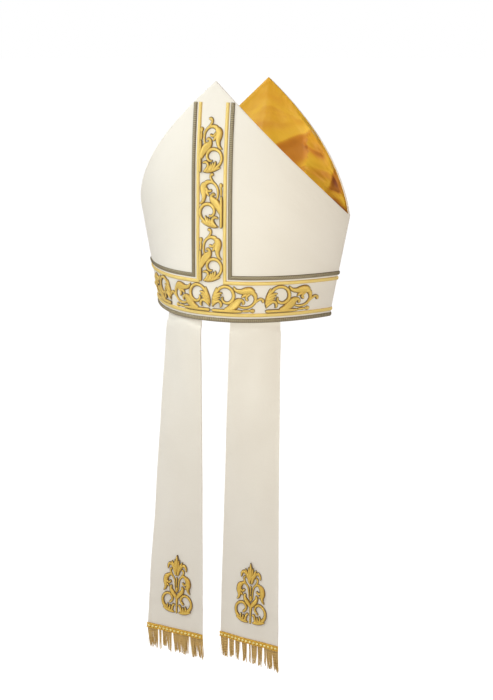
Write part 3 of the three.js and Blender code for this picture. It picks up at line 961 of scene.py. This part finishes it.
def stroke(points, surface, spot, grow, height, layer, rows, material):
    """A stroke on a surface. spot turns drawn millimetres into (across, up) in metres."""
    samples = SAMPLES_PER_SPAN * (len(points) - 1)
    line = [curve_through(points, i / samples) for i in range(samples + 1)]
    steps = [math.dist(a[:2], b[:2]) for a, b in zip(line, line[1:])]
    length = sum(steps)
    run = [sum(steps[:i]) for i in range(samples + 1)]
    start_round = line[0][2] / 2 + grow
    end_round = line[-1][2] / 2 + grow

    def rounding(distance, radius):
        near = max(0.0, 1 - distance / radius) if radius > 0 else 0
        return math.sqrt(max(0.02, 1 - near * near))

    def place(x, y, z):
        i = min(samples, round(x * samples))
        here = line[i]
        before, after = line[max(0, i - 1)], line[min(samples, i + 1)]
        along = Vector((after[0] - before[0], after[1] - before[1])).normalized()
        from_start = run[i] + grow * 0.6
        from_end = length - run[i] + grow * 0.6
        ends = rounding(from_start, start_round) * rounding(from_end, end_round)
        half = (max(THINNEST, here[2]) / 2 + grow) * ends
        aside = (2 * y - 1) * half
        stretch = grow if i == samples else -grow if i == 0 else 0
        point = (
            here[0] - along.y * aside + along.x * stretch,
            here[1] + along.x * aside + along.y * stretch,
        )
        out = height(half, y, layer) if z > 0.5 else SUNK
        return surface(*spot(*point), out)

    return shaped(slab(samples, rows), place, (length * MM, 1), material=material)


LAYER = 0.38
PADDING = 2.1


def padded_height(half, across, over):
    """A padded stroke: rounded across, and fuller where it is wider."""
    top = min(PADDING, 1.05 + half * 0.34)
    return (0.3 + LAYER * over + (top - 0.3) * crown(across)) * MM


def outline_height(half, across, over):
    """The dark thread: almost flat, and the same height however wide it is."""
    return (0.25 + LAYER * over + 0.6 * crown(across) ** 0.4) * MM


def embroidery(strokes, over, surface, spot):
    """All strokes of a motif, gold over dark outline. strokes is name to points."""
    blocks = []
    for name, points in strokes.items():
        layer = over.get(name.removesuffix("_left"), 0)
        blocks.append(stroke(points, surface, spot, OUTLINE, outline_height, layer, 3, 1))
        blocks.append(stroke(points, surface, spot, 0, padded_height, layer, 8, 0))
    return joined(blocks)


print("outline width:", OUTLINE, "mm")

# %% [markdown]
# Three scrolls climb the centre strip, each turned over against the last, and two pairs
# spread from the middle of the rim band, mirrored left and right. One function places a
# scroll, and two short tables say where.

# %% Make the scrolls
CENTRE_GIRTH = 0.89
BAND_GIRTH = 0.95
BAND_FOOT = 11.7
CENTRE_SCROLLS = {"lower": (46.2, -15.3, 1), "middle": (109.2, 14.9, -1), "upper": (171.4, -16.1, 1)}
BAND_SCROLLS = {"inner": (0.6, 62.0), "outer": (63.6, 66.5)}


def centre_spot(root, bar, grows):
    return lambda x, y: ((bar + grows * y * CENTRE_GIRTH) * MM, (root + x) * MM)


def band_spot(root, length, turn):
    stretch = length / SCROLL_LENGTH
    return lambda x, y: (turn * (root + x * stretch) * MM, (BAND_FOOT + y * BAND_GIRTH) * MM)


for side in HORNS:
    surface = along_horn(side)
    for name, row in CENTRE_SCROLLS.items():
        finished(
            f"{side}_scroll_{name}_stitched", embroidery(SCROLL, SCROLL_OVER, surface, centre_spot(*row)),
            [scroll_gold, outline_thread], "gold_thread", [f"{side}_scroll_{name}"],
        )
    for name, row in BAND_SCROLLS.items():
        for hand, turn in (("right", 1), ("left", -1)):
            finished(
                f"{side}_band_scroll_{name}_{hand}_stitched",
                embroidery(SCROLL, SCROLL_OVER, surface, band_spot(*row, turn)),
                [scroll_gold, outline_thread], "gold_thread", [f"{side}_band_scroll_{name}_{hand}"],
            )

# %% [markdown]
# ## The lappets
#
# A lappet is a strip of the same satin, lined and hemmed, sewn inside the back rim. At the
# rim it follows the bow of the horn, and lower down its plan straightens, so it hangs almost
# flat and widens to its fringe. It is placed as a slab with a hem step near each edge, a
# shallow break under the rim where the cloth comes out from its seam, and faint drag
# wrinkles round the stitched sprig.

# %% Sizes of the lappets
# rim: where the top meets the rim, in x. foot: the two lower corners in plan.
LAPPETS = {
    "left": {"rim": (-72.5, -15.1), "foot": ((-92.8, -84.5), (-13.8, -87.3))},
    "right": {"rim": (22.0, 73.1), "foot": ((7.7, -81.1), (89.1, -91.1))},
}
LAPPET_WALL = 1.6 * MM
LAPPET_GAP = 0.8 * MM
LAPPET_TUCK = 16 * MM
HEM = 3.2
HEM_STEP = 0.3 * MM
HEM_DENT = 0.25 * MM
# Heights in mm of the cloth's slow waves, of the break under the rim and of the sprig's drag.
LAPPET_WAVE = 1.5
LAPPET_BREAK = 2.4
SPRIG_DRAG = 0.9
LAPPET_SEEDS = {"left": 7, "right": 19}
SPRIG_FOOT = 26.6
SPRIG_SHIFT = 2
SPRIG_STRETCH = 1.023
for name, lappet in LAPPETS.items():
    lappet["bottom"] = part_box(f"lappet_{name}")[0].z
    lappet["width"] = (lappet["foot"][1][0] - lappet["foot"][0][0]) * MM
    print(name, "lappet ends at", round(lappet["bottom"], 4))


# %% A point of a lappet
def on_lappet(name, across, z, out):
    """across from 0 to 1, and out in metres outside the lappet's face."""
    lappet = LAPPETS[name]
    x = mix(*lappet["rim"], across) * MM
    inside = -PANEL_WALL - LAPPET_GAP
    ratio = x / (RIM_HALF_WIDTH + inside * SEAM_SPREAD)
    if z >= 0:
        return on_horn("back", ratio, z, inside + out)
    top = on_horn("back", ratio, 0, inside + out)
    fall = (z / lappet["bottom"]) ** 0.9
    (from_x, from_y), (to_x, to_y) = lappet["foot"]
    foot = Vector((mix(from_x, to_x, across) * MM, mix(from_y, to_y, across) * MM - out, z))
    return Vector((mix(top.x, foot.x, fall), mix(top.y, foot.y, fall), z))


def lappet_drape(name, across, z):
    """How far the cloth stands out of its plain shape, in metres."""
    if z > 0:
        return 0
    down = -z / MM
    seed = LAPPET_SEEDS[name]
    spot = Vector((across * 2.2, z * 14, seed))
    drape = LAPPET_WAVE * noise.noise(spot) * min(1, down / 60)
    lip = 9 - 6 * math.exp(-(((across - 0.55) / 0.28) ** 2))
    drape += LAPPET_BREAK * (1 - math.exp(-max(0, down - lip) / 4)) * math.exp(-down / 60)
    from_foot = (z - LAPPETS[name]["bottom"]) / MM
    round_sprig = math.exp(-(((from_foot - 45) / 42) ** 2))
    drape += SPRIG_DRAG * round_sprig * noise.noise(Vector((across * 6, z * 42, seed + 3)))
    return drape * MM


def lappet_surface(name):
    """A surface for embroidery on a lappet, like the one along a horn."""
    width = LAPPETS[name]["width"]
    return lambda across, up, out: on_lappet(
        name, 0.5 + across / width, up, out + lappet_drape(name, 0.5 + across / width, up)
    )


print("lappet point:", tuple(round(c, 4) for c in on_lappet("left", 0.5, -0.2, 0)))

# %% Make the lappets
LAPPET_COLUMNS = 42
LAPPET_ROWS = 200


def lappet_cloth(name):
    """One lappet, hemmed, with its top tucked inside the rim."""
    bottom = LAPPETS[name]["bottom"]
    width = LAPPETS[name]["width"]
    length = LAPPET_TUCK - bottom

    def place(x, y, z):
        up = mix(bottom, LAPPET_TUCK, y)
        edge = min(x, 1 - x) * width / MM
        hem = HEM_STEP / (1 + math.exp((edge - HEM) * 4))
        hem -= HEM_DENT * math.exp(-(((edge - HEM) / 0.5) ** 2))
        drape = lappet_drape(name, x, up)
        out = drape + (hem if z > 0.5 else -LAPPET_WALL + 0.4 * MM - hem)
        return on_lappet(name, x, up, out)

    piece = finished(
        f"lappet_{name}_cloth", shaped(slab(LAPPET_COLUMNS, LAPPET_ROWS), place, (width, length)),
        [ivory_satin], "white_satin", [f"lappet_{name}"],
    )


for name in LAPPETS:
    lappet_cloth(name)

# %% [markdown]
# Each lappet carries one sprig near its foot: a stalk that opens into a cup, two curled
# flower stems, a crown of seven lobes and two curls that rise from leaves at the base. Only
# the right half is drawn, and the left half is its mirror image.

# %% Sprig strokes
SPRIG_MIDDLE = {
    "stalk": [(0, 0.6, 3.0), (0, 7, 2.2), (0, 14, 2.8), (0, 22, 4.6)],
    "bud": [(0, 27.4, 1.2), (0, 30.6, 4.6), (0, 34.8, 1.2)],
    "spike": [(0, 35.6, 1.2), (0, 42, 1.8), (0, 46.6, 2.8)],
    "lobe_centre": [(0, 53.6, 1.4), (0, 60, 3.2), (0, 66, 4.4), (0, 70.6, 3.0), (0, 75.0, 0.9)],
}
SPRIG_HALF = {
    "cup": [(0.6, 20.4, 3.4), (3.4, 24.4, 5.4), (7.1, 28.6, 5.2), (8.6, 32.4, 3.8), (7.4, 35.8, 3.2)],
    "stem": [(2.5, 31.4, 1.2), (2.7, 38, 1.9), (4.2, 45, 2.3), (8.8, 49.2, 2.8), (13.6, 48, 4.6)],
    "flower": [(11.4, 48.8, 3.4), (15.6, 45.4, 6.6), (16.8, 39.6, 7.2), (16.2, 34.4, 4.6),
               (17.0, 30.6, 3.0), (19.2, 28.0, 1.2)],
    "flower_curl": [(15, 41, 2.6), (11.4, 38.8, 2.6), (8.6, 41.6, 2.8)],
    "flower_lobe": [(15, 37, 3.4), (11.6, 33.6, 1.6)],
    "tip": [(5.8, 47.4, 1.6), (9.0, 51.6, 2.4), (9.9, 55.4, 2.6), (7.4, 57.6, 2.8)],
    "lobe_inner": [(0.9, 57, 1.6), (2.4, 63.4, 3.0), (3.4, 69.2, 1.0)],
    "lobe_outer": [(1.3, 49.6, 2.6), (2.6, 55.4, 4.4), (4.8, 61, 4.2), (7.8, 67, 1.2)],
    "lobe_fallen": [(4.2, 55.6, 2.2), (6.8, 61.4, 3.4), (10.4, 63.4, 3.5), (13.0, 61, 3.1),
                    (13.9, 56.6, 1.5)],
    "curl": [(15.6, 5.4, 4.4), (19.4, 9.2, 4.0), (21, 14.6, 3.4), (19.8, 19.8, 3.2), (16.0, 23.8, 3.1),
             (11, 24.8, 3.0), (7.2, 21.8, 3.0), (6.4, 17.2, 2.8), (10.4, 13.0, 2.8)],
    "leaf": [(3.2, 1.4, 1.6), (9, 2.4, 4.6), (15, 4.2, 5.6), (20, 4.6, 1.2)],
    "tooth_hook": [(7.4, 2.8, 3.4), (6.2, 7.6, 3.0), (4.8, 10.8, 2.8), (2.8, 10.6, 2.2)],
    "tooth_inner": [(10.6, 4, 3.6), (9.4, 10, 1.2)],
    "tooth_outer": [(14, 5.4, 3.6), (13, 11.2, 1.2)],
}
SPRIG_OVER = {"bud": 1, "spike": 1, "cup": 1, "flower": 1, "flower_curl": 2, "lobe_fallen": 1,
              "lobe_outer": 2, "lobe_inner": 3, "lobe_centre": 4, "curl": 1, "tooth_inner": 2,
              "tooth_outer": 2, "tooth_hook": 1}
print("strokes in a sprig:", len(SPRIG_MIDDLE) + 2 * len(SPRIG_HALF))

# %% Make the sprigs
for name, lappet in LAPPETS.items():
    foot = lappet["bottom"] / MM + SPRIG_FOOT

    def sprig_spot(x, y):
        return (x + SPRIG_SHIFT) * MM, (foot + y * SPRIG_STRETCH) * MM

    strokes = dict(SPRIG_HALF)
    for part, points in SPRIG_HALF.items():
        strokes[part + "_left"] = [(-x, y, width) for x, y, width in points]
    strokes.update(SPRIG_MIDDLE)
    finished(
        f"lappet_sprig_{name}_stitched", embroidery(strokes, SPRIG_OVER, lappet_surface(name), sprig_spot),
        [sprig_gold, outline_thread], "gold_thread", [f"lappet_sprig_{name}"],
    )

# %% [markdown]
# ## Fringe
#
# The fringe is bought by the metre: loops of thread hang from a narrow braid with a corded
# edge above and below and a row of round thread knots between. The braid is a thin slab, the
# cords are slabs with slanting ribs, and each knot is a small flattened sphere. The strands
# are thin four-sided tubes, gathered into locks with gaps between them, and each one sways
# a little by itself.

# %% Fringe heading
HEADING_HEIGHT = 6.5 * MM
HEADING_BACK = 0.2 * MM
HEADING_INSET = 0.4 * MM
HEADING_OVERHANG = 0.008
BAND_COLUMNS = 60
CORD_COLUMNS = 300
KNOT_PITCH = 5.2 * MM
KNOT_RADII = (1.6 * MM, 1.5 * MM, 1.35 * MM)
KNOT_OUT = 0.9 * MM
CORD_WIDTH = 1.9 * MM
CORD_RIB = 2.6 * MM


def heading_strip(name, low, high, height, columns, rows):
    """A strip of the heading, between two heights over the lappet's end."""
    bottom = LAPPETS[name]["bottom"]
    width = LAPPETS[name]["width"]

    def place(x, y, z):
        out = height(x * width, y) if z > 0.5 else 0.0
        up = bottom + mix(low, high, y)
        across = mix(-HEADING_OVERHANG, 1 + HEADING_OVERHANG, x)
        return on_lappet(name, across, up, HEADING_BACK + out + lappet_drape(name, x, up))

    return shaped(slab(columns, rows), place, (width, 1))


def cord_height(along, across):
    rib = 0.5 + 0.5 * math.sin(2 * math.pi * along / CORD_RIB + across * 3)
    return (0.4 + crown(across) * (0.5 + 1.0 * rib)) * MM


def band_height(along, across):
    return 0.6 * MM


def knots(name):
    """The row of thread knots between the two cords."""
    count = round(LAPPETS[name]["width"] / KNOT_PITCH)
    up = LAPPETS[name]["bottom"] + HEADING_HEIGHT / 2
    blocks = []
    for i in range(count):
        across = (i + 0.5) / count
        centre = on_lappet(name, across, up, HEADING_BACK + KNOT_OUT + lappet_drape(name, across, up))
        knot = bmesh.new()
        bmesh.ops.create_uvsphere(knot, u_segments=12, v_segments=8, radius=1, calc_uvs=False)
        bmesh.ops.scale(knot, vec=KNOT_RADII, verts=knot.verts[:])
        bmesh.ops.translate(knot, vec=centre, verts=knot.verts[:])
        uv = knot.loops.layers.uv.new("UVMap")
        for face in knot.faces:
            face.material_index = 1
            for loop in face.loops:
                loop[uv].uv = (loop.vert.co.x, 0.5 + (loop.vert.co.z - centre.z) / (4 * MM))
        blocks.append(knot)
    return blocks


for name in LAPPETS:
    blocks = [
        heading_strip(name, HEADING_INSET, HEADING_HEIGHT - HEADING_INSET, band_height, BAND_COLUMNS, 4),
        heading_strip(name, 0, CORD_WIDTH, cord_height, CORD_COLUMNS, 5),
        heading_strip(name, HEADING_HEIGHT - CORD_WIDTH, HEADING_HEIGHT, cord_height, CORD_COLUMNS, 5),
        *knots(name),
    ]
    finished(
        f"fringe_heading_{name}_braided", joined(blocks), [heading_gold, bead_gold], "gold_thread",
        [f"fringe_heading_{name}"],
    )

# %% Fringe strands
FRINGE_LENGTH = 26.5 * MM
STRAND = 0.42 * MM
STRAND_CELLS = 7
STRAND_START = 0.8 * MM
STRAND_BEHIND = 0.8 * MM
TIP_TAPER = 0.35
GATHER = 22 * MM
LOOSE_STRANDS = 14
FRINGE_SEEDS = {"left": 11, "right": 23}
# Locks of the fringe: start and end as shares of its width, strands, length, and sway in mm.
LOCKS = {
    "left": [(0.0, 0.19, 25, 0.98, 1.0), (0.215, 0.245, 4, 1.0, 0), (0.27, 0.36, 12, 0.8, 0),
             (0.35, 0.44, 11, 1.0, 0), (0.47, 0.60, 19, 0.97, 0.6), (0.60, 0.75, 20, 1.0, 0.6),
             (0.78, 0.90, 17, 1.0, 1.2), (0.88, 1.0, 17, 1.03, 3.0)],
    "right": [(0.0, 0.13, 19, 1.0, 0.8), (0.15, 0.23, 11, 0.97, 0), (0.26, 0.34, 11, 1.0, 0),
              (0.38, 0.46, 11, 1.0, 0), (0.50, 0.53, 4, 1.0, 0), (0.54, 0.64, 12, 0.98, 0),
              (0.65, 0.73, 10, 1.0, 0), (0.76, 0.79, 4, 0.95, 0), (0.80, 0.90, 15, 1.0, 1.0),
              (0.90, 1.0, 15, 1.05, 2.6)],
}


def strand(name, across, drift, length, lean, thick, tone):
    """One strand: drift moves its tip aside and lean moves it forward, in metres."""
    bottom = LAPPETS[name]["bottom"]
    top = bottom + STRAND_START

    def place(x, y, z):
        up = top - x * length
        sway = drift * x ** 1.3 + 0.25 * MM * math.sin(9 * x + tone * 50) * x
        middle = on_lappet(name, across, max(up, bottom), -STRAND_BEHIND)
        taper = thick * (1 - TIP_TAPER * x)
        return Vector((
            middle.x + sway + (y - 0.5) * 2 * taper,
            middle.y + lean * x - (z - 0.5) * 2 * taper,
            up,
        ))

    return shaped(slab(STRAND_CELLS, 1), place, (length * 0.2, 0.6), shift=tone)


def fringe(name):
    """All strands of one fringe: its locks first, and then a few loose ones."""
    rng = random.Random(FRINGE_SEEDS[name])
    blocks = []
    for start, end, count, share, sway in LOCKS[name]:
        gather = (sway + rng.uniform(-0.6, 0.6)) * MM
        for i in range(count):
            across = mix(start, end, (i + rng.random()) / count)
            toward = (mix(start, end, 0.5) - across) * GATHER
            blocks.append(strand(
                name, min(0.995, max(0.005, across)), toward + gather + rng.gauss(0, 0.3) * MM,
                FRINGE_LENGTH * share * rng.uniform(0.86, 1.05), rng.gauss(0, 0.7) * MM,
                STRAND * rng.uniform(0.7, 1.25), rng.random(),
            ))
    for _ in range(LOOSE_STRANDS):
        blocks.append(strand(
            name, rng.uniform(0.02, 0.98), rng.gauss(0, 2.0) * MM, FRINGE_LENGTH * rng.uniform(0.6, 1.0),
            rng.gauss(0, 1.2) * MM, STRAND * 0.45, rng.random(),
        ))
    return joined(blocks)


for name in LAPPETS:
    finished(f"fringe_{name}_strands", fringe(name), [fringe_gold], "fringe_gold", [f"fringe_{name}"])

# %% [markdown]
# ## Stage, light and camera
#
# The mitre is shown held up as a head holds it, over a plain pale floor, which glows a little
# for the camera alone so that it is an even white. A large soft panel high on the viewer's
# left is the main light. A small warm one stands close on the right at the mitre's own
# height, so its light fades down the lappets. Two more panels stand on the far side, so that
# the front horn isn't dark when the mitre is seen from there, and an even warm sky fills what
# is left. The camera stands on the wearer's right, behind the mitre and a little above it.

# %% Floor
FLOOR_RADIUS = 40
FLOOR_DROP = 0.12
FLOOR_GLOW = 1.25
GLOW_SHARE = 0.8
floor_mesh = bpy.data.meshes.new("floor")
floor_block = bmesh.new()
bmesh.ops.create_circle(floor_block, cap_ends=True, segments=96, radius=FLOOR_RADIUS)
bmesh.ops.translate(floor_block, vec=(0, 0, CAD_BOUNDS[0].z - FLOOR_DROP), verts=floor_block.verts[:])
floor_block.to_mesh(floor_mesh)
floor_block.free()
floor = bpy.data.objects.new("floor", floor_mesh)
bpy.context.scene.collection.objects.link(floor)
floor_finish = bpy.data.materials.new("pale_floor")
floor_finish.use_nodes = True
floor_tree = floor_finish.node_tree
floor_shader = floor_tree.nodes["Principled BSDF"]
floor_shader.inputs["Base Color"].default_value = (0.8, 0.8, 0.8, 1)
floor_shader.inputs["Roughness"].default_value = 0.9
floor_shader.inputs["Specular IOR Level"].default_value = 0.1
glow = add(floor_tree, "ShaderNodeEmission")
pale = add(floor_tree, "ShaderNodeMixShader")
looked_at = add(floor_tree, "ShaderNodeLightPath").outputs["Is Camera Ray"]
join(floor_tree, number(floor_tree, "MULTIPLY", looked_at, GLOW_SHARE), pale.inputs[0])
join(floor_tree, floor_shader.outputs[0], pale.inputs[1])
join(floor_tree, glow.outputs[0], pale.inputs[2])
join(floor_tree, pale.outputs[0], floor_tree.nodes["Material Output"].inputs["Surface"])
glow.inputs["Strength"].default_value = FLOOR_GLOW
floor_mesh.materials.append(floor_finish)
print("floor at", round(CAD_BOUNDS[0].z - FLOOR_DROP, 4))

# %% Light
scene = bpy.context.scene
scene.view_settings.view_transform = "Standard"
world = bpy.data.worlds.new("pale_room")
world.use_nodes = True
room = world.node_tree
ambient = room.nodes["Background"]
ambient.inputs["Color"].default_value = (1, 0.80, 0.75, 1)
ambient.inputs["Strength"].default_value = 0.36
backdrop = add(room, "ShaderNodeBackground")
backdrop.inputs["Color"].default_value = (1, 1, 1, 1)
seen = add(room, "ShaderNodeMixShader")
join(room, add(room, "ShaderNodeLightPath").outputs["Is Camera Ray"], seen.inputs[0])
join(room, ambient.outputs[0], seen.inputs[1])
join(room, backdrop.outputs[0], seen.inputs[2])
join(room, seen.outputs[0], room.nodes["World Output"].inputs["Surface"])
scene.world = world
LIGHTS = {
    "key": {"at": (-0.72, -0.556, 0.79), "size": 0.8, "power": 9.7, "colour": (0.93, 1, 0.98)},
    "fill": {"at": (0.29, -0.45, 0.10), "size": 0.3, "power": 1.17, "colour": (1, 0.98, 0.85)},
    "far_key": {"at": (-0.7, 1.0, 0.9), "size": 0.9, "power": 9.5, "colour": (0.96, 1, 0.96)},
    "far_fill": {"at": (0.6, 1.05, 0.5), "size": 0.9, "power": 6, "colour": (0.98, 1, 0.92)},
}
for name, row in LIGHTS.items():
    data = bpy.data.lights.new(name, "AREA")
    data.shape = "DISK"
    data.size = row["size"]
    data.energy = row["power"]
    data.color = row["colour"]
    lamp = bpy.data.objects.new(name, data)
    lamp.location = row["at"]
    lamp.rotation_euler = (-Vector(row["at"])).to_track_quat("-Z", "Y").to_euler()
    lamp.visible_camera = False
    scene.collection.objects.link(lamp)
print("lights:", ", ".join(LIGHTS))

# %% Camera
AIM = Vector((9.7, -8.7, -50.0)) * MM
VIEW_AZIMUTH = math.radians(24.805)
VIEW_ELEVATION = math.radians(13.447)
VIEW_DISTANCE = 1.635
camera_data = bpy.data.cameras.new("camera")
camera_data.lens = 68.95
camera_data.clip_end = 100
camera = bpy.data.objects.new("camera", camera_data)
towards = Vector((
    math.sin(VIEW_AZIMUTH) * math.cos(VIEW_ELEVATION),
    -math.cos(VIEW_AZIMUTH) * math.cos(VIEW_ELEVATION),
    math.sin(VIEW_ELEVATION),
))
camera.location = AIM + towards * VIEW_DISTANCE
camera.rotation_euler = (-towards).to_track_quat("-Z", "Y").to_euler()
scene.collection.objects.link(camera)
scene.camera = camera
print("camera at", tuple(round(c, 3) for c in camera.location))
